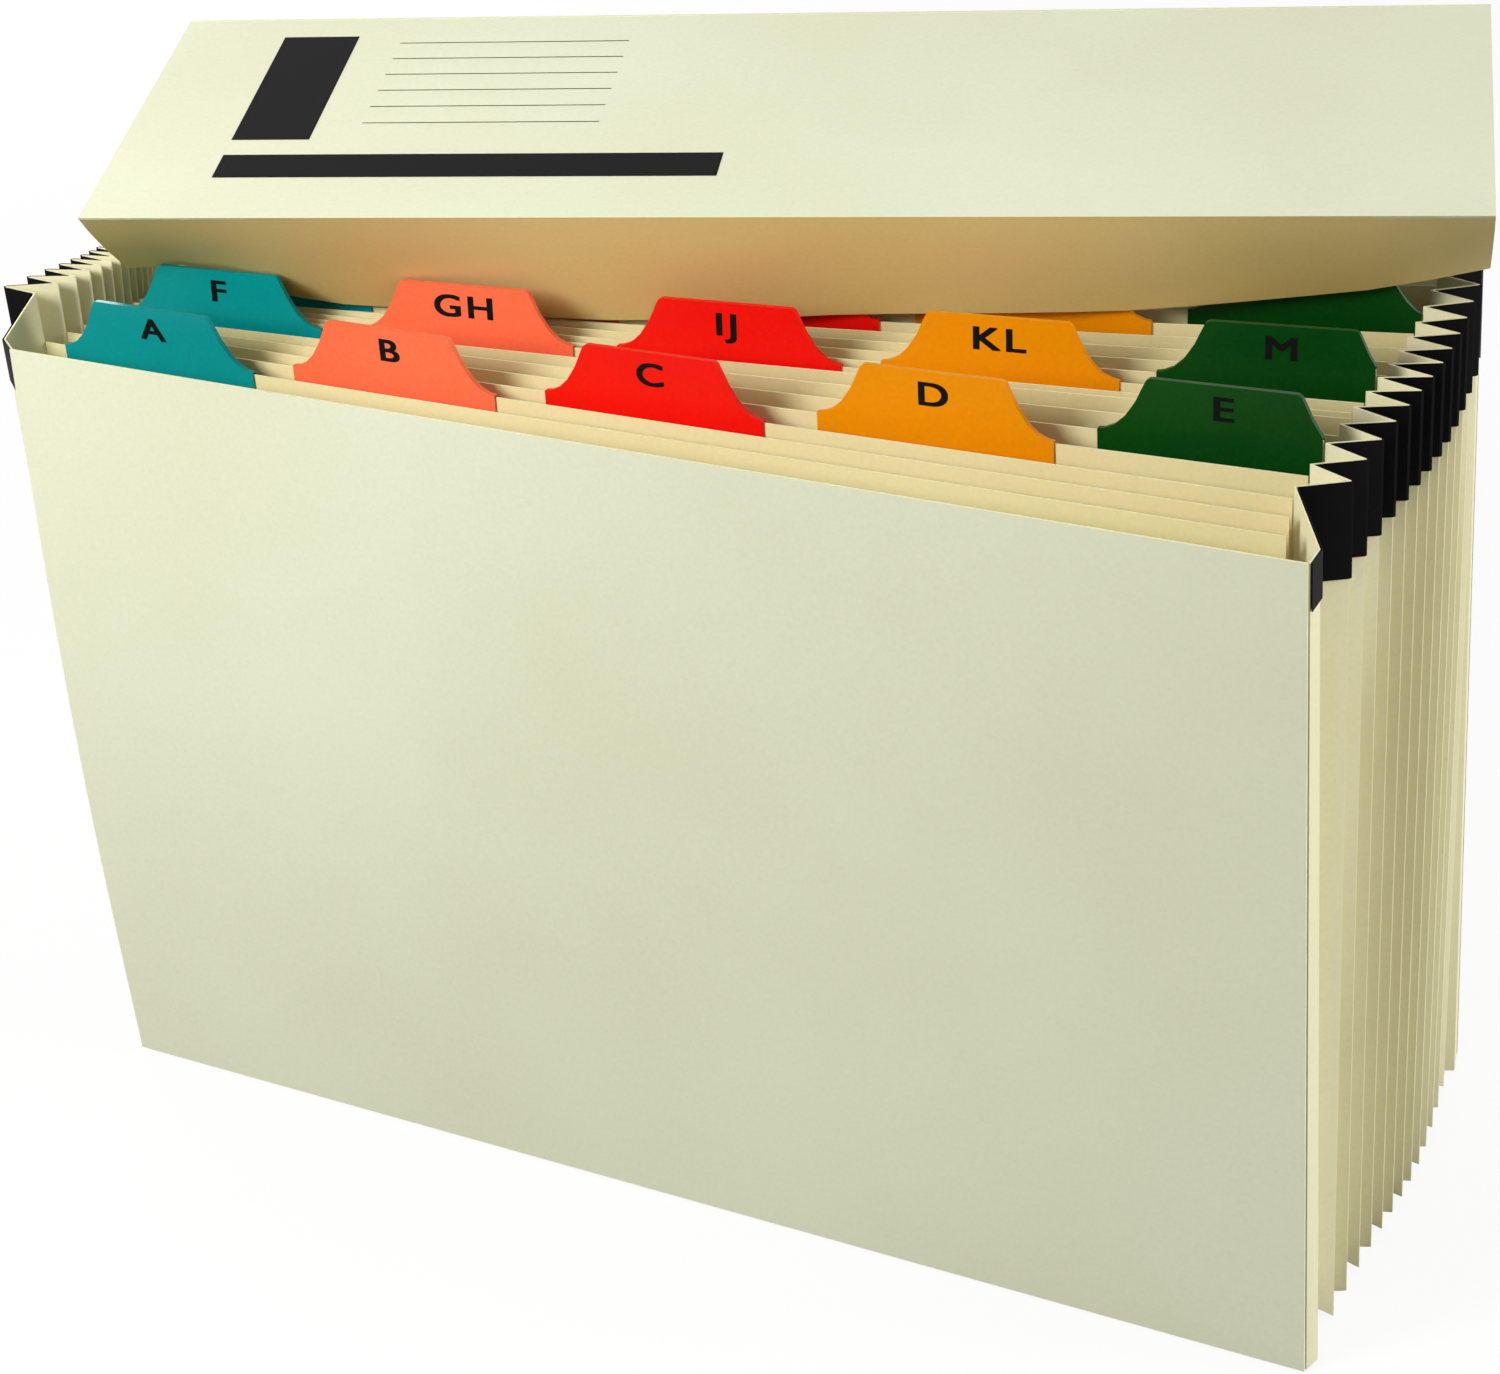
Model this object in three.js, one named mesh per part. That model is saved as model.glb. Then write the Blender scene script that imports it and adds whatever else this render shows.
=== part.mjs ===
import * as THREE from 'three';

// An A to Z expanding file in card, standing open like a fan with its flap lifted.
// Units are millimetres, +Z is up, +X runs along the flap to the right and -Y faces the viewer.
// The origin is on the standing surface, below the middle of the file.

// Sheet thicknesses and the gap that touching sheets keep.
const COVER_T = 0.6;
const FLAP_T = 0.5;
const CARD_T = 0.4;
const PAPER_T = 0.4;
const TAPE_T = 0.2;
const FILM_T = 0.2;
const GAP = 0.35;

// Covers. The front one leans and bows towards the viewer.
const COVER_W = 370;
const FRONT_H = 227.4;
const FRONT_LEAN = 5.5;
const FRONT_ANGLE = THREE.MathUtils.degToRad(19.25);
const FRONT_BOW = 3;
const REAR_TOP_Z = FRONT_H - 4.8;

// The fan's plan grows with the covers: its places are given at this cover width.
const PLAN_W = 370;
const plan = (length) => (length * COVER_W) / PLAN_W;

// Depth and side positions where the file stands, left end and right end.
const LEFT_X = -COVER_W / 2;
const REAR_RIGHT_X = plan(203.7);
const REAR_FOOT_RIGHT_Y = plan(26.3);
const REAR_FOOT_LEFT_Y = plan(40);
const REAR_TOP_Y = plan(73);

// Dividers and their tabs.
const DIVIDERS = 16;
const DIVIDER_FOOT_Z = 9.6;
const SHOULDER_LEFT_Z = FRONT_H - 5.5;
const SHOULDER_RIGHT_Z = FRONT_H - 3.5;
const TAB_ROWS = 5;
const TAB_TOP_W = 38.5;
const TAB_FOOT_W = 65;
const FILM_W = 64;
const TAB_H = 14;
const TAB_CORNER = 1.6;
const TAB_FLARE = 2.4;
const TAB_FIRST = 38;
const TAB_LAST_MARGIN = 44;
const TAB_PITCH = (COVER_W - TAB_FIRST - TAB_LAST_MARGIN) / (TAB_ROWS - 1);
const FILM_DROP = 7;

// How far single tabs stand off their even pitch, front to back.
const TAB_SHIFT = [1.5, -0.5, 1, 2, 0, -3.5, -2, 1, 1.8, 1];

// Bellows: folds against the dividers are valleys, the outer folds are peaks.
const PLEAT_LEG = plan(13.2);
const RIGHT_VALLEYS = 14;
const LOOSE_FRONT = 2;
const SHARED_FOLD = 8;
const GUSSET_TOP_RIGHT_Z = FRONT_H - 0.4;
const GUSSET_TOP_LEFT_Z = FRONT_H + 8.6;
const RIDGE_H = 8;
const RIDGE_SPREAD = 5;
const TAPE_H = 24;
const TAPE_FRONT_H = 12;

// Flap: a back panel up from the rear cover, a top panel forward, and a lip turned down.
// Its creases are points of depth and height.
const FLAP_OVERHANG = 1;
const FLAP_W = COVER_W + 2 * FLAP_OVERHANG;
const FLAP_BACK = new THREE.Vector2(REAR_TOP_Y + 43.9, REAR_TOP_Z + 59.7);
const FLAP_FRONT = new THREE.Vector2(FLAP_BACK.x - 108.2, FLAP_BACK.y - 22.9);
const REAR_CREASE_GAP = 0.45;
const BACK_CREASE_GAP = 1.1;
const LIP_SAG = 0.5;

const CREAM = 0xe9e8c6;
const INNER_CREAM = 0xe6d9a2;
const TAPE_BLACK = 0x14120f;
const TAB_COLOURS = [0x16989c, 0xff7050, 0xfa1810, 0xe69000, 0x0a4a10];

const file = new THREE.Group();

function addSheet(name, geometry, colour, roughness) {
  const material = new THREE.MeshStandardMaterial({ color: colour, roughness, metalness: 0 });
  const mesh = new THREE.Mesh(geometry, material);
  mesh.name = name;
  file.add(mesh);
}

const mix = THREE.MathUtils.lerp;

// Joins closed loops of equal length into one body. Both ends get the cap's triangles, and the
// faces that the loop passes on its way back take the other diagonal, so both sides of a sheet agree.
function loft(loops, cap, isWayBack) {
  const count = loops[0].length;
  const positions = loops.flat().flatMap((p) => [p.x, p.y, p.z]);
  const faces = [];
  for (let i = 0; i + 1 < loops.length; i++) {
    for (let j = 0; j < count; j++) {
      const a = i * count + j;
      const b = i * count + ((j + 1) % count);
      if (isWayBack(j)) {
        faces.push([a, b, a + count], [b, b + count, a + count]);
      } else {
        faces.push([a, b, b + count], [a, b + count, a + count]);
      }
    }
  }
  const last = (loops.length - 1) * count;
  for (const [a, b, c] of cap) {
    faces.push([a, c, b], [last + a, last + b, last + c]);
  }
  const geometry = new THREE.BufferGeometry();
  geometry.setAttribute('position', new THREE.Float32BufferAttribute(positions, 3));
  geometry.setIndex(faces.flat());
  orient(geometry);
  geometry.computeVertexNormals();
  return geometry;
}

// Cap triangles between a near row and a far row that follow the same fold numbers.
function stripCap(near, far) {
  const cap = [];
  const farAt = (j) => near.length + far.length - 1 - j;
  let i = 0;
  let j = 0;
  while (i < near.length - 1 || j < far.length - 1) {
    const nearNext = i < near.length - 1 ? near[i + 1] : Infinity;
    const farNext = j < far.length - 1 ? far[j + 1] : Infinity;
    if (nearNext <= farNext) {
      cap.push([i, i + 1, farAt(j)]);
      i++;
    }
    if (farNext <= nearNext) {
      cap.push([i, farAt(j + 1), farAt(j)]);
      j++;
    }
  }
  return cap;
}

// Turns all faces outward when the body came out inside out.
function orient(geometry) {
  const p = geometry.attributes.position;
  const index = geometry.index;
  const a = new THREE.Vector3();
  const b = new THREE.Vector3();
  const c = new THREE.Vector3();
  let volume = 0;
  for (let i = 0; i < index.count; i += 3) {
    a.fromBufferAttribute(p, index.getX(i));
    b.fromBufferAttribute(p, index.getX(i + 1));
    c.fromBufferAttribute(p, index.getX(i + 2));
    volume += a.dot(b.cross(c));
  }
  if (volume < 0) {
    for (let i = 0; i < index.count; i += 3) {
      const keep = index.getX(i + 1);
      index.setX(i + 1, index.getX(i + 2));
      index.setX(i + 2, keep);
    }
  }
}

// A curved card: a grid of points thickened by half its thickness to each side.
function gridSheet(point, columns, rows, thickness) {
  const normalAt = (u, v) => {
    const du = 1e-3;
    const pu = point(Math.min(u + du, 1), v).sub(point(Math.max(u - du, 0), v));
    const pv = point(u, Math.min(v + du, 1)).sub(point(u, Math.max(v - du, 0)));
    return pu.cross(pv).normalize();
  };
  const loops = columns.map((u) => {
    const side = (sign) => rows.map((v) => {
      const p = point(u, v).addScaledVector(normalAt(u, v), (sign * thickness) / 2);
      p.z = Math.max(p.z, 0);
      return p;
    });
    return [...side(1), ...side(-1).reverse()];
  });
  return loft(loops, stripCap(rows, rows), (j) => j >= rows.length);
}

const steps = (n) => Array.from({ length: n + 1 }, (_, i) => i / n);

// A folded line in plan, pushed sideways by a distance, with rounded outer and sharp inner corners.
function offsetPath(path, shape, distance) {
  const out = [];
  const normal = (i) => {
    const d = new THREE.Vector2().subVectors(path[i + 1], path[i]).normalize();
    return new THREE.Vector2(d.y, -d.x);
  };
  const turn = (i) => {
    const d0 = new THREE.Vector2().subVectors(shape[i], shape[i - 1]);
    const d1 = new THREE.Vector2().subVectors(shape[i + 1], shape[i]);
    return d0.cross(d1);
  };
  for (let i = 0; i < path.length; i++) {
    if (i === 0 || i === path.length - 1) {
      const n = normal(i === 0 ? 0 : i - 1);
      out.push({ at: path[i].clone().addScaledVector(n, distance), from: i });
      continue;
    }
    const n0 = normal(i - 1);
    const n1 = normal(i);
    const bisector = n0.clone().add(n1).normalize();
    if (turn(i) * distance > 0) {
      for (const side of [n0, bisector, n1]) {
        out.push({ at: path[i].clone().addScaledVector(side, distance), from: i });
      }
    } else {
      const reach = distance / bisector.dot(n0);
      out.push({ at: path[i].clone().addScaledVector(bisector, reach), from: i });
    }
  }
  return out;
}

// A closed outline round a folded line, between two sideways distances, and its cap.
function foldedLoop(path, shape, near, far, place) {
  const nearRow = offsetPath(path, shape, near);
  const farRow = offsetPath(path, shape, far);
  const cap = stripCap(nearRow.map((p) => p.from), farRow.map((p) => p.from));
  const loop = [...nearRow, ...farRow.reverse()].map(({ at, from }) => place(at, from));
  return { loop, cap, isWayBack: (j) => j >= nearRow.length };
}

// A pleated wall through level lines of equal fold count, from its foot to its top.
function pleatedWall(lines, near, far) {
  const flat = (line) => line.map((p) => new THREE.Vector2(p.x, p.y));
  const shape = flat(lines[lines.length - 1]);
  const loops = lines.map((line) => {
    const place = (at, i) => new THREE.Vector3(at.x, at.y, line[i].z);
    return foldedLoop(flat(line), shape, near, far, place);
  });
  return loft(loops.map((l) => l.loop), loops[0].cap, loops[0].isWayBack);
}

// Front cover, bowed a little towards the viewer at its free left side.
const frontFoot = new THREE.Vector3(LEFT_X, 0, 0);
const frontAlong = new THREE.Vector3(Math.cos(FRONT_ANGLE), -Math.sin(FRONT_ANGLE), 0);
const frontOut = new THREE.Vector3(-Math.sin(FRONT_ANGLE), -Math.cos(FRONT_ANGLE), 0);

function frontPoint(u, v) {
  const p = frontFoot.clone().addScaledVector(frontAlong, u * COVER_W);
  p.addScaledVector(frontOut, v * FRONT_LEAN + FRONT_BOW * (1 - u) * Math.sin(Math.PI * v));
  p.z = v * FRONT_H;
  return p;
}

// Rear cover, leaning back.
function rearPoint(u, v) {
  const x = REAR_RIGHT_X - COVER_W * (1 - u);
  const footY = mix(REAR_FOOT_LEFT_Y, REAR_FOOT_RIGHT_Y, u);
  return new THREE.Vector3(x, mix(footY, REAR_TOP_Y, v), mix(0, REAR_TOP_Z, v));
}

// Where divider k, counted from 1 at the front, meets the left bellows.
function leftValley(k, v) {
  const n = k - 1;
  const topX = -165 - 20.3 * Math.exp(-n / 5);
  const topY = 14.3 + 2.85 * n + 10.7 * (1 - Math.exp(-n / 1.8));
  const footX = -177 + 0.5 * n;
  const footY = 8 + 1.9 * n;
  return new THREE.Vector2(plan(mix(footX, topX, v)), plan(mix(footY, topY, v)));
}

// Valley j of the right bellows, 1 to RIGHT_VALLEYS: the folds lie on two shallow arcs.
function rightValley(j, v) {
  const t = (j - 1) / (RIGHT_VALLEYS - 1);
  const swell = 4 * Math.sin(2 * Math.PI * t) + 1.5 * Math.sin(Math.PI * t);
  const topY = mix(-84.7, 55, t) + swell;
  const footY = mix(-101.2, 15.9, t) + swell;
  const bulge = 3 * Math.sin(Math.PI * t);
  const firstX = mix(157.9, 158.4, v);
  const lastX = mix(188.4, 191.8, v);
  return new THREE.Vector2(plan(mix(firstX, lastX, t) + bulge), plan(mix(footY, topY, v)));
}

// The outer fold between two valleys, one pleat panel away from both.
function outerFold(a, b, leg) {
  const base = new THREE.Vector2().subVectors(b, a);
  const rise = Math.sqrt(leg * leg - base.lengthSq() / 4);
  const out = new THREE.Vector2(base.y, -base.x).normalize();
  return a.clone().lerp(b, 0.5).addScaledVector(out, rise);
}

// Which right valley a divider ends at: two share one fold, so later ones sit a fold forward.
function rightFoldOf(k) {
  if (k === DIVIDERS) {
    return RIGHT_VALLEYS;
  }
  return k >= SHARED_FOLD ? k - LOOSE_FRONT - 1 : k - LOOSE_FRONT;
}

// Right end of divider k. The two front ones end free on the wide first panel.
function rightEnd(k, v) {
  const first = rightValley(1, v);
  if (k <= LOOSE_FRONT) {
    const short = LOOSE_FRONT + 1 - k;
    return first.add(new THREE.Vector2(plan(-0.4 * short), plan(-mix(5.5, 10.5, v) * short)));
  }
  const fold = rightValley(rightFoldOf(k), v);
  return k === SHARED_FOLD ? fold.add(new THREE.Vector2(0, plan(3.6))) : fold;
}

// Divider cards.
function tabCentre(k) {
  return TAB_FIRST + TAB_PITCH * ((k - 1) % TAB_ROWS) + (TAB_SHIFT[k - 1] ?? 0);
}

// Height of the divider's edge above its shoulder at a distance s from its left end.
function tabRise(k, s, grow) {
  const d = Math.abs(s - tabCentre(k));
  const top = TAB_TOP_W / 2 + grow;
  const foot = TAB_FOOT_W / 2 + grow;
  if (d >= foot) {
    return 0;
  }
  if (d <= top - TAB_CORNER) {
    return TAB_H;
  }
  if (d <= top) {
    const e = (d - top + TAB_CORNER) / TAB_CORNER;
    return TAB_H - TAB_CORNER * (1 - Math.sqrt(1 - 0.75 * e * e));
  }
  const f = (foot - d) / (foot - top);
  return (TAB_H - TAB_CORNER / 2) * Math.pow(f, TAB_FLARE);
}

// Distances along the card where its edge changes, so each outline holds only these.
function tabStations(k, from, to, grow) {
  const offsets = [];
  const top = TAB_TOP_W / 2 + grow;
  const foot = TAB_FOOT_W / 2 + grow;
  for (const e of steps(5)) {
    offsets.push(top - TAB_CORNER + TAB_CORNER * e);
    offsets.push(mix(top, foot, e));
  }
  const marks = offsets.flatMap((d) => [tabCentre(k) - d, tabCentre(k) + d]);
  const inside = marks.filter((s) => s > from + 0.2 && s < to - 0.2);
  const sorted = [from, ...inside.sort((a, b) => a - b), to];
  return sorted.filter((s, i) => i === 0 || s - sorted[i - 1] > 0.05);
}

const cardClear = PAPER_T / 2 + GAP;

// One divider's frame: its ends on the bellows, its length, and its facing direction.
function dividerFrame(k) {
  const at = (v) => {
    const a = leftValley(k, v);
    const b = rightEnd(k, v);
    const along = new THREE.Vector2().subVectors(b, a).normalize();
    return { a: a.addScaledVector(along, cardClear), b: b.addScaledVector(along, -cardClear), along };
  };
  const foot = at(0);
  const top = at(1);
  const length = top.a.distanceTo(top.b);
  const out = new THREE.Vector2(top.along.y, -top.along.x);
  const point = (s, z, aside) => {
    const u = s / length;
    const v = z / GUSSET_TOP_RIGHT_Z;
    const low = foot.a.clone().lerp(foot.b, u);
    const high = top.a.clone().lerp(top.b, u);
    const p = low.lerp(high, v).addScaledVector(out, aside);
    return new THREE.Vector3(p.x, p.y, z);
  };
  const shoulder = (s) => mix(SHOULDER_LEFT_Z, SHOULDER_RIGHT_Z, s / length);
  return { length, point, shoulder };
}

function dividerCard(k) {
  const { length, point, shoulder } = dividerFrame(k);
  const loops = tabStations(k, 0, length, 0).map((s) => {
    const z = shoulder(s) + tabRise(k, s, 0);
    const front = CARD_T / 2;
    return [
      point(s, DIVIDER_FOOT_Z, front),
      point(s, z, front),
      point(s, z, -front),
      point(s, DIVIDER_FOOT_Z, -front),
    ];
  });
  return loft(loops, [[0, 1, 2], [0, 2, 3]], (j) => j === 2);
}

// Coloured film folded over a tab, one layer on each face of the card.
function tabFilm(k) {
  const { length, point, shoulder } = dividerFrame(k);
  const from = Math.max(tabCentre(k) - FILM_W / 2, 0);
  const to = Math.min(tabCentre(k) + FILM_W / 2, length);
  const inner = CARD_T / 2 + GAP;
  const outer = inner + FILM_T;
  const loops = tabStations(k, from, to, GAP).map((s) => {
    const low = shoulder(s) - FILM_DROP;
    const z = shoulder(s) + tabRise(k, s, GAP) + GAP;
    return [
      point(s, low, outer),
      point(s, z + FILM_T, outer),
      point(s, z + FILM_T, -outer),
      point(s, low, -outer),
      point(s, low, -inner),
      point(s, z, -inner),
      point(s, z, inner),
      point(s, low, inner),
    ];
  });
  const arch = [[0, 1, 6], [0, 6, 7], [1, 2, 5], [1, 5, 6], [2, 3, 4], [2, 4, 5]];
  return loft(loops, arch, (j) => j === 2 || j === 6);
}

// The line of folds of the right bellows at height share v, from front cover to rear cover.
function rightFolds(v) {
  const edge = frontPoint(1, v).addScaledVector(frontOut, -COVER_T / 2 - GAP - PAPER_T / 2);
  const folds = [new THREE.Vector2(edge.x, edge.y)];
  folds.push(new THREE.Vector2(plan(mix(167.3, 164.8, v)), plan(mix(-116.9, -118.8, v))));
  for (let j = 1; j <= RIGHT_VALLEYS; j++) {
    folds.push(rightValley(j, v));
    if (j < RIGHT_VALLEYS) {
      folds.push(outerFold(rightValley(j, v), rightValley(j + 1, v), PLEAT_LEG));
    }
  }
  const rear = rearPoint(1, v);
  folds.push(new THREE.Vector2(rear.x - PAPER_T - 2 * GAP, plan(mix(17.3, 60.3, v))));
  folds.push(new THREE.Vector2(rear.x - PAPER_T, rear.y - COVER_T - GAP));
  return folds;
}

// The line of folds of the left bellows. Its pleats stay nearly closed.
function leftFolds(v) {
  const edge = frontPoint(0, v).addScaledVector(frontOut, -COVER_T / 2 - GAP - PAPER_T / 2);
  const folds = [new THREE.Vector2(edge.x, edge.y)];
  folds.push(new THREE.Vector2(plan(mix(-186.5, -191.6, v)), plan(mix(4, 3.2, v))));
  const lean = new THREE.Vector2(mix(-9, -10.2, v), mix(2.2, 4.8, v));
  for (let k = 1; k <= DIVIDERS; k++) {
    folds.push(leftValley(k, v));
    folds.push(leftValley(k, v).add(lean));
  }
  const rear = rearPoint(0, v);
  folds.push(new THREE.Vector2(rear.x - PAPER_T - GAP, rear.y - COVER_T));
  return folds;
}

const isRidge = (valley) => valley % 2 === 1;

// Level lines of a bellows, each fold placed at its own height, with one line at the tape's foot.
function levelLines(foldsAt, footZ, topZ) {
  const heights = [
    footZ,
    footZ.map((z, i) => mix(z, topZ[i], 1 / 3)),
    footZ.map((z, i) => mix(z, topZ[i], 2 / 3)),
    topZ.map((z, i) => z - (i <= 1 ? TAPE_FRONT_H : TAPE_H)),
    topZ,
  ];
  return heights.map((row) => row.map((z, i) => {
    const p = foldsAt(z / GUSSET_TOP_RIGHT_Z)[i];
    return new THREE.Vector3(p.x, p.y, z);
  }));
}

// Right bellows: its foot rises over each ridge of the pleated bottom.
function rightLines() {
  const folds = rightFolds(0);
  const last = folds.length - 1;
  const footZ = folds.map((_, i) => {
    const isValley = i >= 2 && i < last && i % 2 === 0;
    return isValley && isRidge(i / 2) ? RIDGE_H : 0;
  });
  const topZ = folds.map((_, i) => (i === last ? REAR_TOP_Z : GUSSET_TOP_RIGHT_Z));
  return levelLines(rightFolds, footZ, topZ);
}

// Left bellows: pulled up by its closed pleats, level with the covers only at its two ends.
function leftLines() {
  const folds = leftFolds(0);
  const last = folds.length - 1;
  const footZ = folds.map(() => DIVIDER_FOOT_Z);
  const topZ = folds.map((_, i) => {
    if (i === last) {
      return REAR_TOP_Z - 2 * GAP;
    }
    if (i === last - 2) {
      return (GUSSET_TOP_LEFT_Z + GUSSET_TOP_RIGHT_Z) / 2;
    }
    return i <= 1 || i === last - 1 ? GUSSET_TOP_RIGHT_Z : GUSSET_TOP_LEFT_Z;
  });
  return levelLines(leftFolds, footZ, topZ);
}

// Black reinforcing tape round the outside of a bellows, along its top edge.
function edgeTape(lines, side) {
  const near = side * (PAPER_T / 2 + GAP);
  return pleatedWall(lines.slice(-2), near, near + side * TAPE_T);
}

// Pleated bottom: flat strips on the standing surface with a raised ridge at every second fold.
function bottomSheet() {
  const level = PAPER_T / 2;
  const folds = rightFolds(0);
  const right = [new THREE.Vector3(folds[0].x - 2, folds[0].y + 1, level)];
  for (let j = 1; j <= RIGHT_VALLEYS; j++) {
    const p = rightValley(j, 0);
    const inset = new THREE.Vector3(p.x - PAPER_T - 2 * GAP, p.y, isRidge(j) ? RIDGE_H : level);
    if (isRidge(j)) {
      right.push(inset.clone().add(new THREE.Vector3(0, -RIDGE_SPREAD, level - inset.z)));
      right.push(inset);
      right.push(inset.clone().add(new THREE.Vector3(0, RIDGE_SPREAD, level - inset.z)));
    }
  }
  const rearFoot = folds[folds.length - 1];
  right.push(new THREE.Vector3(rightValley(RIGHT_VALLEYS, 0).x - PAPER_T - 2 * GAP, rearFoot.y - 1, level));
  const ends = leftFolds(0);
  const front = ends[0];
  const rear = ends[ends.length - 1];
  const left = right.map((p, i) => {
    const t = i / (right.length - 1);
    return new THREE.Vector3(mix(front.x, rear.x, t) + 1, mix(front.y, rear.y - COVER_T, t), p.z);
  });
  const shape = right.map((p) => new THREE.Vector2(p.y, p.z));
  const loopAt = (line) => {
    const flat = line.map((p) => new THREE.Vector2(p.y, p.z));
    return foldedLoop(flat, shape, PAPER_T / 2, -PAPER_T / 2, (at, i) => {
      return new THREE.Vector3(line[i].x, at.x, Math.max(at.y, 0));
    });
  };
  const first = loopAt(left);
  return loft([first.loop, loopAt(right).loop], first.cap, first.isWayBack);
}

// Flap back panel, from the rear cover's top crease up to the far crease.
const rearCrease = new THREE.Vector2(REAR_TOP_Y, REAR_TOP_Z);
const flapLeft = REAR_RIGHT_X + FLAP_OVERHANG - FLAP_W;

function flapBackPoint(u, v) {
  const along = new THREE.Vector2().subVectors(FLAP_BACK, rearCrease);
  const length = along.length();
  along.normalize();
  const s = mix(REAR_CREASE_GAP, length - BACK_CREASE_GAP, v);
  const p = rearCrease.clone().addScaledVector(along, s);
  return new THREE.Vector3(flapLeft + u * FLAP_W, p.x, p.y);
}

// Free edge of the lip: share of the width from the left, then depth and drop from the front crease.
const LIP_EDGE = [
  [0, 29.8, 24.8],
  [0.045, 30.6, 24],
  [0.085, 30.6, 27.6],
  [0.125, 29.8, 33],
  [0.17, 28.4, 35],
  [0.24, 26, 35.4],
  [0.31, 21.6, 35.6],
  [0.38, 18, 35.2],
  [0.46, 17.8, 34.8],
  [0.55, 18.2, 33.4],
  [0.69, 17.1, 32.3],
  [0.75, 17.3, 31.7],
  [0.83, 19.6, 30],
  [0.93, 20.2, 26.4],
  [1, 28.5, 24],
];
const lipEdge = new THREE.CatmullRomCurve3(LIP_EDGE.map(([share, depth, drop]) => {
  return new THREE.Vector3(share, FLAP_FRONT.x + depth, FLAP_FRONT.y - drop);
}));

function lipPoint(u) {
  const places = lipEdge.points;
  const last = places.length - 2;
  let i = 0;
  while (i < last && places[i + 1].x < u) {
    i++;
  }
  const local = (u - places[i].x) / (places[i + 1].x - places[i].x);
  return lipEdge.getPoint((i + local) / (places.length - 1));
}

// Flap front: the top panel up to the front crease at half height of v, then the lip.
function flapFrontPoint(u, v) {
  const along = new THREE.Vector2().subVectors(FLAP_FRONT, FLAP_BACK);
  const start = FLAP_BACK.clone().addScaledVector(along, BACK_CREASE_GAP / along.length());
  const x = flapLeft + u * FLAP_W;
  if (v <= 0.5) {
    const p = start.lerp(FLAP_FRONT, v * 2);
    return new THREE.Vector3(x, p.x, p.y);
  }
  const edge = lipPoint(u);
  const w = v * 2 - 1;
  const sag = LIP_SAG * Math.sin(Math.PI * w);
  return new THREE.Vector3(x, mix(FLAP_FRONT.x, edge.y, w) - sag, mix(FLAP_FRONT.y, edge.z, w) - sag);
}

// Assembly.
addSheet('front_cover', gridSheet(frontPoint, steps(6), steps(8), COVER_T), CREAM, 0.75);
addSheet('rear_cover', gridSheet(rearPoint, steps(6), steps(4), COVER_T), CREAM, 0.75);
addSheet('flap_back_panel', gridSheet(flapBackPoint, steps(2), steps(2), FLAP_T), CREAM, 0.75);
addSheet('flap_front_panel', gridSheet(flapFrontPoint, steps(24), steps(10), FLAP_T), CREAM, 0.75);

for (let k = 1; k <= DIVIDERS; k++) {
  const label = String(k).padStart(2, '0');
  addSheet('divider_' + label, dividerCard(k), INNER_CREAM, 0.8);
  addSheet('tab_film_' + label, tabFilm(k), TAB_COLOURS[(k - 1) % TAB_ROWS], 0.25);
}

const right = rightLines();
const left = leftLines();
const half = PAPER_T / 2;
addSheet('bellows_right', pleatedWall(right, half, -half), CREAM, 0.8);
addSheet('bellows_left', pleatedWall(left, half, -half), CREAM, 0.8);
addSheet('bellows_bottom', bottomSheet(), CREAM, 0.8);
addSheet('edge_tape_right', edgeTape(right, 1), TAPE_BLACK, 0.5);
addSheet('edge_tape_left', edgeTape(left, -1), TAPE_BLACK, 0.5);

// The origin lies below the middle of the whole file.
const middle = new THREE.Box3().setFromObject(file).getCenter(new THREE.Vector3());
file.position.set(-middle.x, -middle.y, 0);

export default file;
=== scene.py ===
import math

import bmesh
import bpy
from mathutils import Matrix, Vector


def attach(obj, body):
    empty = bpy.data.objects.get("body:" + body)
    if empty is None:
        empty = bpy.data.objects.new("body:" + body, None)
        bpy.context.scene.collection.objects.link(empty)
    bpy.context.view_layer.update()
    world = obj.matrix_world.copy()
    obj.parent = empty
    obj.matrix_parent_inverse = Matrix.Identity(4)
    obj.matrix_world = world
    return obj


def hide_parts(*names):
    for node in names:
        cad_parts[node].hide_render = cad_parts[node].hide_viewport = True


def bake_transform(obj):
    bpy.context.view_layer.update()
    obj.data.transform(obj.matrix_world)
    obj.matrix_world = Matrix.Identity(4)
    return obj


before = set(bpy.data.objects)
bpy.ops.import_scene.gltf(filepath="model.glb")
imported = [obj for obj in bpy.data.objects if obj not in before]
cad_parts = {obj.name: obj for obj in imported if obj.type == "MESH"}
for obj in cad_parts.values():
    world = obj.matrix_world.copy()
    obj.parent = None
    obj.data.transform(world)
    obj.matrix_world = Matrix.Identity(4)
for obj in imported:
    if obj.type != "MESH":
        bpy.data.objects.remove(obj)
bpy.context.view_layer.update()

MM = 0.001

# The three bodies of the frame.
ROOT = "file_body"
BACK = "flap_back"
FRONT = "flap_front"

# Dividers, tabs and films in millimetres, as in the CAD.
DIVIDERS = 16
TAB_ROWS = 5
TAB_FIRST = 38
TAB_PITCH = 72
TAB_H = 14
TAB_SHIFT = [1.5, -0.5, 1, 2, 0, -3.5, -2, 1, 1.8, 1, 0, 0, 0, 0, 0, 0]
SHOULDER_LEFT_Z = 221.9
SHOULDER_RIGHT_Z = 223.9
DIVIDER_TOP_Z = 227
HALF_CARD = 0.2
FILM_GAP = 0.35
FILM_T = 0.2
FILM_FACE = HALF_CARD + FILM_GAP + FILM_T

# Where a divider's ends are looked for: how thick its foot is taken, how far up its
# upper part starts, and how near to the very end a vertex has to be.
FOOT_BAND = 1
UPPER_FROM = 100
END_BAND = 0.3

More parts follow.
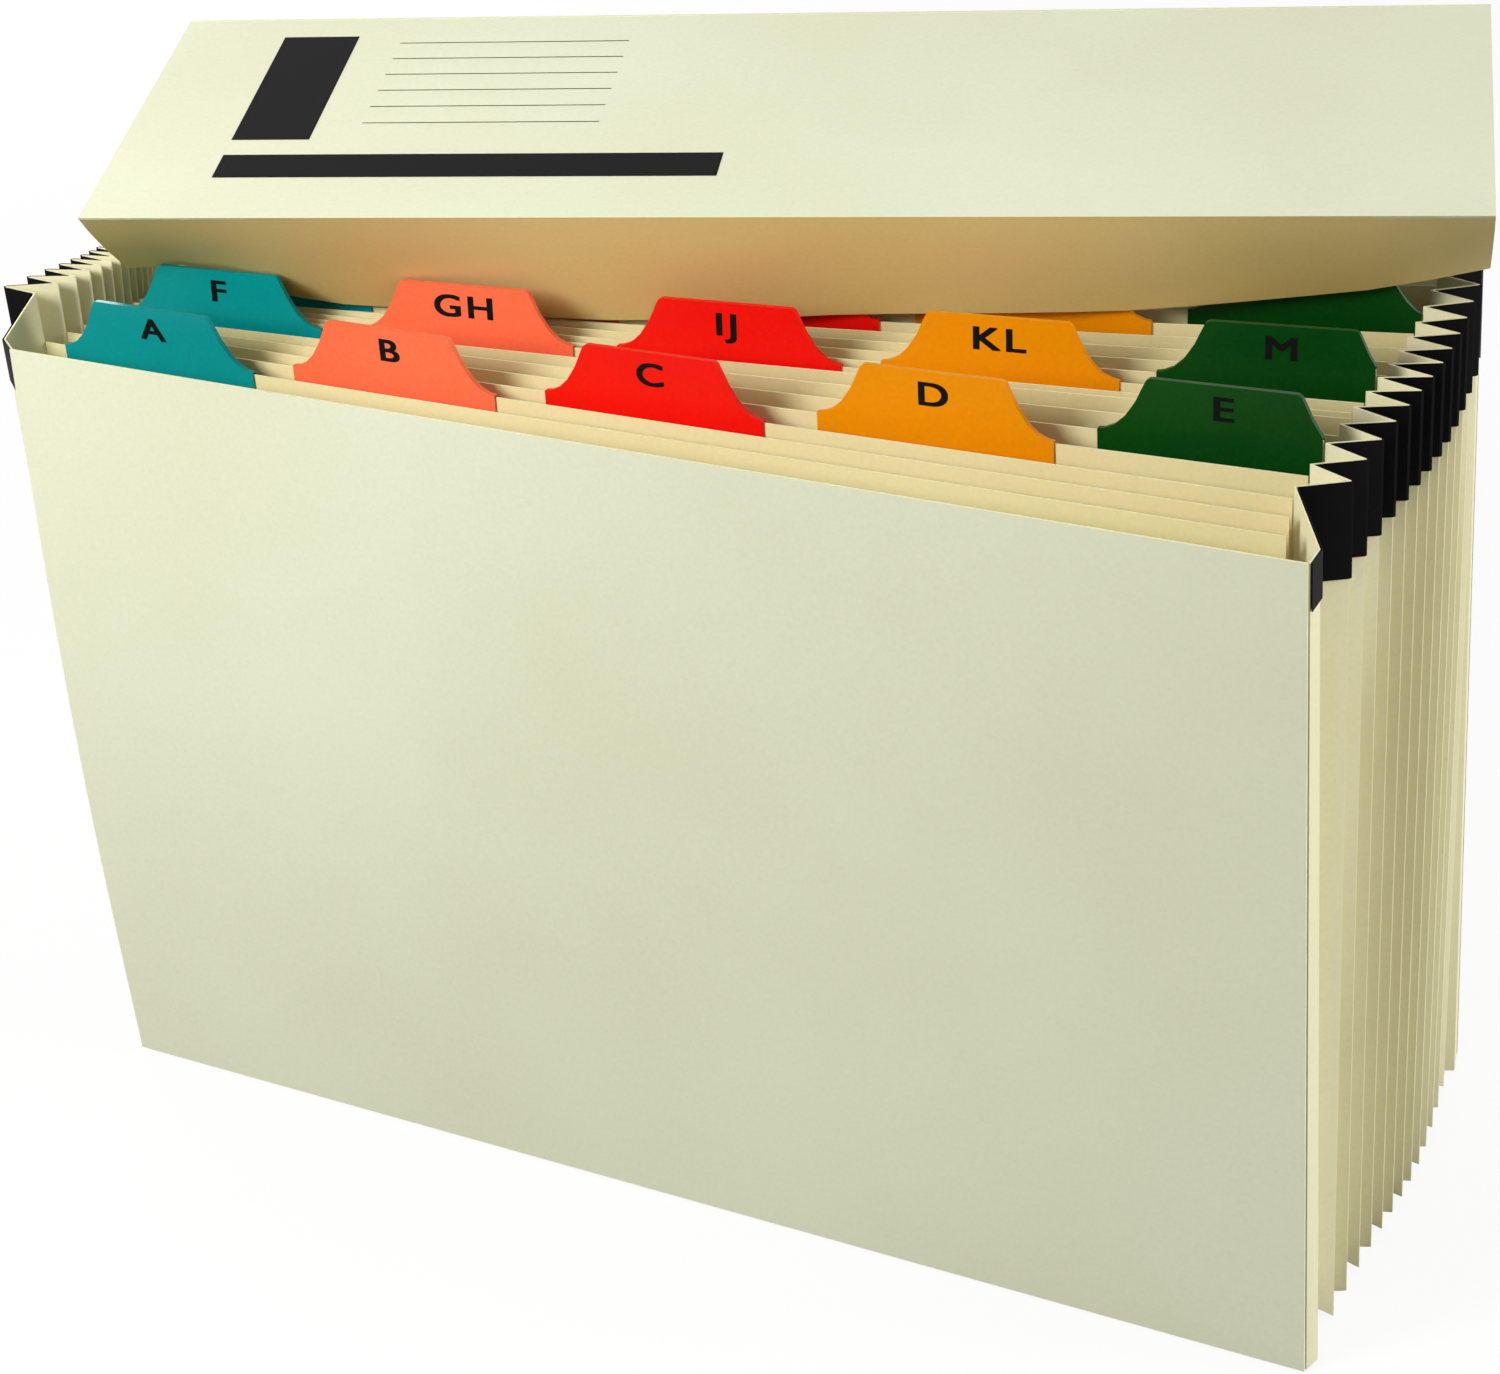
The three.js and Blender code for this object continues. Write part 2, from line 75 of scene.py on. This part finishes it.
# Index letters. The rise is a share of the tab's height.
LETTERS = ["A", "B", "C", "D", "E", "F", "GH", "IJ", "KL", "M", "N", "OP", "QR", "S", "T", "UZ"]
LETTER_SIZE = 8.5
LETTER_SPACING = 1.18
LETTER_STRETCH = 1.4
LETTER_RISE = 0.6
LETTER_T = 0.01
LETTER_LIFT = 0.05

# A bold letter is five copies of a plain one: how far apart, where, and how much higher each.
LETTER_BOLD = 0.22
LETTER_COPIES = ((-1, -0.6), (1, -0.6), (-1, 0.6), (1, 0.6), (0, 0))
LETTER_STEP = 0.002

# How bright the floor looks, and how much light it sends back to the file.
FLOOR_GLOW = 1.0
FLOOR_WHITE = 0.88
FLOOR_BOUNCE = 0.2
WORLD_LIGHT = 0.27

# Half the floor's side and its height, in metres.
FLOOR_REACH = 6
FLOOR_Z = -0.0005

# The camera as fitted to the photo: its place in metres and its three directions.
CAMERA_PLACE = Vector((0.1725512, -0.8090543, 0.55198))
CAMERA_RIGHT = Vector((0.98352, 0.16982, -0.06205))
CAMERA_UP = Vector((-0.02315, 0.45863, 0.88834))
CAMERA_FORWARD = Vector((-0.17931, 0.87226, -0.45500))
CAMERA_LENS = 81.65
CAMERA_SENSOR = 36
CAMERA_SIGHT = 50

# The shift that centres the model, and the flap's width and left edge.
SHIFT_X = -4.0688
SHIFT_Y = 5.5057
REAR_RIGHT_X = 203.7
FLAP_OVERHANG = 1
FLAP_W = 372
HALF_FLAP = 0.25
FLAP_LEFT = REAR_RIGHT_X + FLAP_OVERHANG - FLAP_W + SHIFT_X

# Rear cover and flap creases as depth and height.
REAR_FOOT_Y = 33
REAR_TOP_Y = 73
REAR_TOP_Z = 222.6
REAR_CREASE = Vector((0, REAR_TOP_Y + SHIFT_Y, REAR_TOP_Z))
FAR_CREASE = Vector((0, 116.9 + SHIFT_Y, 282.3))
FRONT_CREASE = Vector((0, 8.7 + SHIFT_Y, 259.4))
# This far below the front crease, the lip's outer side begins to take the painted warm bounce
# light.
LIP_FROM = 0.6

# Printed design: the ink's gap and thickness, then shares of the flap's width (x)
# and distances from its far crease (t).
INK_GAP = 0.04
INK_T = 0.02
BLOCK = {"x0": 0.085, "x1": 0.145, "t0": 12, "t1": 70}
BAND = {"x0": 0.085, "x1": 0.46, "t0": 78, "t1": 90}
LINES = 6
LINE_X0 = 0.18
LINE_X1 = 0.36
LINE_FIRST = 16
LINE_PITCH = 9
LINE_T = 0.35

# Bent strips at the creases: rows round the bend, columns along it, half their
# thickness, how far they stop short of the flap's sides, and their reach each way.
FOLD_ROWS = 7
FOLD_COLUMNS = 30
FOLD_HALF = 0.36
FOLD_INSET = 0.6
REAR_REACH_BEFORE = 0.5
REAR_REACH_AFTER = 1.4
FAR_REACH = 2

# Shading: vertices this near are one, and edges sharper than this stay sharp.
WELD = 1e-6
SHARP = 32
FOLD_SHARP = 50


def linear(colour):
    """sRGB values from 0 to 255 as the linear values that the shaders use."""
    out = []
    for c in colour:
        c = c / 255
        out.append(c / 12.92 if c <= 0.04045 else ((c + 0.055) / 1.055) ** 2.4)
    return (*out, 1)


def material(name, light, dark, roughness, grain=60.0, bump=0.04, gloss=0.5):
    """A mottled surface: two colours mixed by coarse and fine noise, with a fine bump."""
    coarse_share = 0.65
    fine_share = 0.35
    mat = bpy.data.materials.new(name)
    mat.use_nodes = True
    tree = mat.node_tree
    shader = tree.nodes["Principled BSDF"]
    where = tree.nodes.new("ShaderNodeTexCoord")
    coarse = tree.nodes.new("ShaderNodeTexNoise")
    coarse.inputs["Scale"].default_value = grain * 0.15
    coarse.inputs["Detail"].default_value = 3
    fine = tree.nodes.new("ShaderNodeTexNoise")
    fine.inputs["Scale"].default_value = grain * 14
    fine.inputs["Detail"].default_value = 6
    tree.links.new(where.outputs["Object"], coarse.inputs["Vector"])
    tree.links.new(where.outputs["Object"], fine.inputs["Vector"])
    both = tree.nodes.new("ShaderNodeMath")
    both.operation = "MULTIPLY_ADD"
    both.inputs[1].default_value = fine_share
    tree.links.new(fine.outputs["Fac"], both.inputs[0])
    share = tree.nodes.new("ShaderNodeMath")
    share.operation = "MULTIPLY"
    share.inputs[1].default_value = coarse_share
    tree.links.new(coarse.outputs["Fac"], share.inputs[0])
    tree.links.new(share.outputs[0], both.inputs[2])
    ramp = tree.nodes.new("ShaderNodeValToRGB")
    ramp.color_ramp.elements[0].position = 0.36
    ramp.color_ramp.elements[0].color = linear(dark)
    ramp.color_ramp.elements[1].position = 0.64
    ramp.color_ramp.elements[1].color = linear(light)
    tree.links.new(both.outputs[0], ramp.inputs["Fac"])
    tree.links.new(ramp.outputs["Color"], shader.inputs["Base Color"])
    raised = tree.nodes.new("ShaderNodeBump")
    raised.inputs["Strength"].default_value = bump
    raised.inputs["Distance"].default_value = 0.0004
    tree.links.new(fine.outputs["Fac"], raised.inputs["Height"])
    tree.links.new(raised.outputs["Normal"], shader.inputs["Normal"])
    shader.inputs["Roughness"].default_value = roughness
    shader.inputs["Specular IOR Level"].default_value = gloss
    return mat


COVER = material("cover card", (239, 241, 211), (231, 232, 199), 0.62)
# Cut-edge card: partly the edge's own lighter tone and partly a painted highlight, since it goes
# only on faces that point upwards, where light catches the edge.
CUT_EDGE_WITH_HIGHLIGHT = material("cut edge of card with painted highlight", (250, 246, 205), (240, 234, 186), 0.8)
BELLOWS = material("bellows card", (243, 238, 200), (235, 228, 186), 0.7)
# The lip is the same cream card as the cover. Its warmer, orange-tinted colour is painted bounce
# light from the coloured tabs below it.
LIP_PAINTED_BOUNCE = material("lip card with painted bounce light", (250, 227, 156), (244, 217, 139), 0.62)
INNER = material("divider card", (241, 229, 178), (233, 219, 162), 0.75)
TAPE = material("cloth tape", (11, 11, 12), (5, 5, 6), 0.65, grain=200, bump=0.25, gloss=0.05)
INK = material("printing ink", (9, 9, 9), (5, 5, 5), 0.7, gloss=0.1)
FILM_COLOURS = {
    "teal": ((6, 150, 150), (2, 137, 139)),
    "coral": ((255, 120, 80), (250, 106, 66)),
    "red": ((250, 24, 12), (236, 16, 8)),
    "orange": ((244, 152, 2), (234, 140, 0)),
    "green": ((5, 74, 16), (2, 60, 10)),
}
FILMS = [
    material(name + " film", light, dark, 0.28, bump=0.02, gloss=0.17)
    for name, (light, dark) in FILM_COLOURS.items()
]


def refined(node, body, mats, edge=None):
    """A welded, smooth-shaded copy of a CAD node that stands for it. Thin faces that
    the edge test picks take the second material."""
    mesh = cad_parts[node].data.copy()
    mesh.materials.clear()
    for mat in mats:
        mesh.materials.append(mat)
    work = bmesh.new()
    work.from_mesh(mesh)
    bmesh.ops.remove_doubles(work, verts=work.verts, dist=WELD)
    for face in work.faces:
        face.smooth = True
        face.material_index = 1 if edge and edge(face) else 0
    work.to_mesh(mesh)
    work.free()
    if "custom_normal" in mesh.attributes:
        mesh.attributes.remove(mesh.attributes["custom_normal"])
    mesh.set_sharp_from_angle(angle=math.radians(SHARP))
    obj = bpy.data.objects.new(node + "_shown", mesh)
    bpy.context.collection.objects.link(obj)
    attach(obj, body)
    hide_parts(node)
    return obj


# Upward-facing edge faces take the cut-edge material with its painted highlight.
def faces_up(face):
    return face.normal.z > 0.75


# A divider's top edge takes the cut-edge material with its painted highlight.
def top_of_divider(face):
    return face.normal.z > 0.3


# The lip's outer side, which takes the painted warm bounce light.
def lip_painted_bounce_faces(face):
    return face.normal.y < 0 and face.calc_center_median().z < (FRONT_CREASE.z - LIP_FROM) * MM


refined("front_cover", ROOT, [COVER, CUT_EDGE_WITH_HIGHLIGHT], edge=faces_up)
refined("rear_cover", ROOT, [COVER, CUT_EDGE_WITH_HIGHLIGHT], edge=faces_up)
refined("flap_back_panel", BACK, [COVER])
refined("flap_front_panel", FRONT, [COVER, LIP_PAINTED_BOUNCE], edge=lip_painted_bounce_faces)
refined("bellows_right", ROOT, [BELLOWS, CUT_EDGE_WITH_HIGHLIGHT], edge=faces_up)
refined("bellows_left", ROOT, [BELLOWS, CUT_EDGE_WITH_HIGHLIGHT], edge=faces_up)
refined("bellows_bottom", ROOT, [BELLOWS])
refined("edge_tape_right", ROOT, [TAPE])
refined("edge_tape_left", ROOT, [TAPE])


def card_frame(node):
    """Where a divider's two ends stand, as points for any height, from its CAD vertices."""
    spots = [v.co.copy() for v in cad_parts[node].data.vertices]
    foot = min(p.z for p in spots)

    def end(sign):
        def group(points):
            far = max(sign * p.x for p in points)
            near = [p for p in points if sign * p.x > far - END_BAND * MM]
            return sum(near, Vector()) / len(near)

        low = group([p for p in spots if p.z < foot + FOOT_BAND * MM])
        high = group([p for p in spots if p.z > foot + UPPER_FROM * MM])
        return lambda z: low.lerp(high, (z - low.z) / (high.z - low.z))

    return end(-1), end(1)


def letter_mesh(text):
    """Flat bold letters: the plain outline laid down several times, a little apart."""
    curve = bpy.data.curves.new("letters " + text, "FONT")
    curve.body = text
    curve.size = LETTER_SIZE * MM
    curve.extrude = LETTER_T * MM
    curve.space_character = LETTER_SPACING
    curve.align_x = "CENTER"
    curve.align_y = "CENTER"
    holder = bpy.data.objects.new("letters " + text, curve)
    bpy.context.collection.objects.link(holder)
    bpy.context.view_layer.update()
    solved = holder.evaluated_get(bpy.context.evaluated_depsgraph_get())
    mesh = bpy.data.meshes.new_from_object(solved)
    bpy.data.objects.remove(holder)
    bold = bmesh.new()
    for i, (x, y) in enumerate(LETTER_COPIES):
        copy = mesh.copy()
        offset = (x * LETTER_BOLD * MM, y * LETTER_BOLD * MM, i * LETTER_STEP * MM)
        copy.transform(Matrix.Translation(offset))
        bold.from_mesh(copy)
        bpy.data.meshes.remove(copy)
    bold.to_mesh(mesh)
    bold.free()
    return mesh


for k in range(1, DIVIDERS + 1):
    label = f"{k:02d}"
    refined("divider_" + label, ROOT, [INNER, CUT_EDGE_WITH_HIGHLIGHT], edge=top_of_divider)
    refined("tab_film_" + label, ROOT, [FILMS[(k - 1) % TAB_ROWS]])
    left, right = card_frame("divider_" + label)
    a = left(DIVIDER_TOP_Z * MM)
    b = right(DIVIDER_TOP_Z * MM)
    length = (b - a).length
    tab_at = TAB_FIRST + TAB_PITCH * ((k - 1) % TAB_ROWS) + TAB_SHIFT[k - 1]
    u = tab_at * MM / length
    shoulder = SHOULDER_LEFT_Z + (SHOULDER_RIGHT_Z - SHOULDER_LEFT_Z) * u
    low = left(shoulder * MM).lerp(right(shoulder * MM), u)
    high = left((shoulder + TAB_H) * MM).lerp(right((shoulder + TAB_H) * MM), u)
    along = (b - a).normalized()
    up = (high - low).normalized()
    out = along.cross(up).normalized()
    middle = low.lerp(high, LETTER_RISE) + out * (FILM_FACE + LETTER_LIFT) * MM
    mesh = letter_mesh(LETTERS[k - 1])
    turn = Matrix((along * LETTER_STRETCH, up, out)).transposed().to_4x4()
    mesh.transform(Matrix.Translation(middle) @ turn)
    mesh.materials.clear()
    mesh.materials.append(INK)
    letter = bpy.data.objects.new("tab_letter_" + label, mesh)
    bpy.context.collection.objects.link(letter)
    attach(letter, ROOT)


def new_mesh(name, points, faces, mat):
    mesh = bpy.data.meshes.new(name)
    mesh.from_pydata([tuple(p) for p in points], [], faces)
    mesh.materials.append(mat)
    obj = bpy.data.objects.new(name, mesh)
    bpy.context.collection.objects.link(obj)
    return obj


# Printed design on the flap's top panel: flat pieces of ink just above the card.
down = (FRONT_CREASE - FAR_CREASE).normalized()
panel_normal = Vector((1, 0, 0)).cross(-down).normalized()


def printed(name, x0, x1, t0, t1):
    """A rectangle of ink between shares of the panel's width and distances from its far crease."""
    start = FAR_CREASE + panel_normal * (HALF_FLAP + INK_GAP)
    points = []
    for rise in (0, INK_T):
        for x, t in ((x0, t0), (x1, t0), (x1, t1), (x0, t1)):
            p = start + down * t + panel_normal * rise
            p.x = FLAP_LEFT + x * FLAP_W
            points.append(p * MM)
    sides = [(i, (i + 1) % 4, 4 + (i + 1) % 4, 4 + i) for i in range(4)]
    obj = new_mesh(name, points, [(3, 2, 1, 0), (4, 5, 6, 7), *sides], INK)
    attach(obj, FRONT)


printed("print_block", **BLOCK)
for i in range(LINES):
    line_at = LINE_FIRST + LINE_PITCH * i
    printed(f"print_line_{i}", LINE_X0, LINE_X1, line_at, line_at + LINE_T)
printed("print_band", **BAND)


def crease(name, before, at, after):
    """A strip of card bent round a crease, joining the two panels at it."""
    path = []
    for i in range(FOLD_ROWS):
        t = i / (FOLD_ROWS - 1)
        p = before * (1 - t) ** 2 + at * 2 * t * (1 - t) + after * t ** 2
        d = (at - before) * (1 - t) + (after - at) * t
        n = Vector((1, 0, 0)).cross(d).normalized()
        path.append((p, n))
    loop = [p + n * FOLD_HALF for p, n in path]
    loop += [p - n * FOLD_HALF for p, n in reversed(path)]
    count = len(loop)
    points = []
    for c in range(FOLD_COLUMNS + 1):
        x = FLAP_LEFT + FOLD_INSET + (FLAP_W - 2 * FOLD_INSET) * c / FOLD_COLUMNS
        points += [Vector((x, p.y, p.z)) * MM for p in loop]
    faces = []
    for c in range(FOLD_COLUMNS):
        for j in range(count):
            a = c * count + j
            b = c * count + (j + 1) % count
            faces.append((a, b, b + count, a + count))
    faces.append(tuple(range(count - 1, -1, -1)))
    faces.append(tuple(FOLD_COLUMNS * count + j for j in range(count)))
    obj = new_mesh(name, points, faces, COVER)
    for face in obj.data.polygons:
        face.use_smooth = True
    obj.data.set_sharp_from_angle(angle=math.radians(FOLD_SHARP))
    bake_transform(obj)


rear_way = Vector((0, REAR_TOP_Y - REAR_FOOT_Y, REAR_TOP_Z)).normalized()
back_way = (FAR_CREASE - REAR_CREASE).normalized()
crease(
    "rear_crease_fold",
    REAR_CREASE - rear_way * REAR_REACH_BEFORE,
    REAR_CREASE,
    REAR_CREASE + back_way * REAR_REACH_AFTER,
)
crease(
    "far_crease_fold",
    FAR_CREASE - back_way * FAR_REACH,
    FAR_CREASE,
    FAR_CREASE + down * FAR_REACH,
)


def looked_at(tree):
    """1 for the camera and for what gloss and glass show, 0 for the light that bounces."""
    path = tree.nodes.new("ShaderNodeLightPath")
    looks = path.outputs["Is Camera Ray"]
    for ray in ("Is Glossy Ray", "Is Transmission Ray"):
        either = tree.nodes.new("ShaderNodeMath")
        either.operation = "MAXIMUM"
        tree.links.new(looks, either.inputs[0])
        tree.links.new(path.outputs[ray], either.inputs[1])
        looks = either.outputs[0]
    return looks


def floor_material():
    """A pale floor: white with a faint shadow to the camera, and grey to the light that bounces."""
    mat = material("floor white", (250, 250, 250), (247, 247, 247), 0.9, bump=0)
    tree = mat.node_tree
    lit = tree.nodes["Principled BSDF"]
    glow = tree.nodes.new("ShaderNodeEmission")
    glow.inputs["Strength"].default_value = FLOOR_GLOW
    seen = tree.nodes.new("ShaderNodeMixShader")
    seen.inputs["Fac"].default_value = FLOOR_WHITE
    tree.links.new(lit.outputs["BSDF"], seen.inputs[1])
    tree.links.new(glow.outputs["Emission"], seen.inputs[2])
    grey = tree.nodes.new("ShaderNodeBsdfDiffuse")
    grey.inputs["Color"].default_value = (FLOOR_BOUNCE, FLOOR_BOUNCE, FLOOR_BOUNCE, 1)
    final = tree.nodes.new("ShaderNodeMixShader")
    tree.links.new(looked_at(tree), final.inputs["Fac"])
    tree.links.new(grey.outputs["BSDF"], final.inputs[1])
    tree.links.new(seen.outputs["Shader"], final.inputs[2])
    tree.links.new(final.outputs["Shader"], tree.nodes["Material Output"].inputs["Surface"])
    return mat


floor = new_mesh(
    "floor",
    [(FLOOR_REACH * x, FLOOR_REACH * y, FLOOR_Z) for x, y in ((-1, -1), (1, -1), (1, 1), (-1, 1))],
    [(0, 1, 2, 3)],
    floor_material(),
)

world = bpy.data.worlds.new("studio")
bpy.context.scene.world = world
world.use_nodes = True
sky = world.node_tree
light_sky = sky.nodes["Background"]
light_sky.inputs["Color"].default_value = (1, 1, 1, 1)
light_sky.inputs["Strength"].default_value = WORLD_LIGHT
white_sky = sky.nodes.new("ShaderNodeBackground")
white_sky.inputs["Color"].default_value = (1, 1, 1, 1)
sky_mix = sky.nodes.new("ShaderNodeMixShader")
sky.links.new(looked_at(sky), sky_mix.inputs["Fac"])
sky.links.new(light_sky.outputs["Background"], sky_mix.inputs[1])
sky.links.new(white_sky.outputs["Background"], sky_mix.inputs[2])
sky.links.new(sky_mix.outputs["Shader"], sky.nodes["World Output"].inputs["Surface"])


def area_light(name, place, aim, size, power):
    light = bpy.data.lights.new(name, "AREA")
    light.shape = "DISK"
    light.size = size
    light.energy = power
    obj = bpy.data.objects.new(name, light)
    obj.location = place
    obj.rotation_euler = (Vector(aim) - Vector(place)).to_track_quat("-Z", "Y").to_euler()
    bpy.context.collection.objects.link(obj)


area_light("key", place=(-0.68, -0.68, 0.75), aim=(-0.14, 0, 0.22), size=0.5, power=10)
area_light("top", place=(0, 0.1, 2.0), aim=(0, 0, 0), size=1.4, power=5)
area_light("side", place=(1.6, -0.05, 0.45), aim=(0.2, 0, 0.12), size=0.6, power=16.5)
area_light("rear", place=(-1.0, 1.6, 0.5), aim=(0, 0.05, 0.14), size=1.2, power=15)

camera = bpy.data.cameras.new("camera")
camera.lens = CAMERA_LENS
camera.sensor_width = CAMERA_SENSOR
camera.sensor_fit = "HORIZONTAL"
camera.clip_end = CAMERA_SIGHT
eye = bpy.data.objects.new("camera", camera)
turn = Matrix((CAMERA_RIGHT, CAMERA_UP, -CAMERA_FORWARD)).transposed().to_4x4()
eye.matrix_world = Matrix.Translation(CAMERA_PLACE) @ turn
bpy.context.collection.objects.link(eye)
bpy.context.scene.camera = eye
bpy.context.scene.view_settings.view_transform = "Standard"
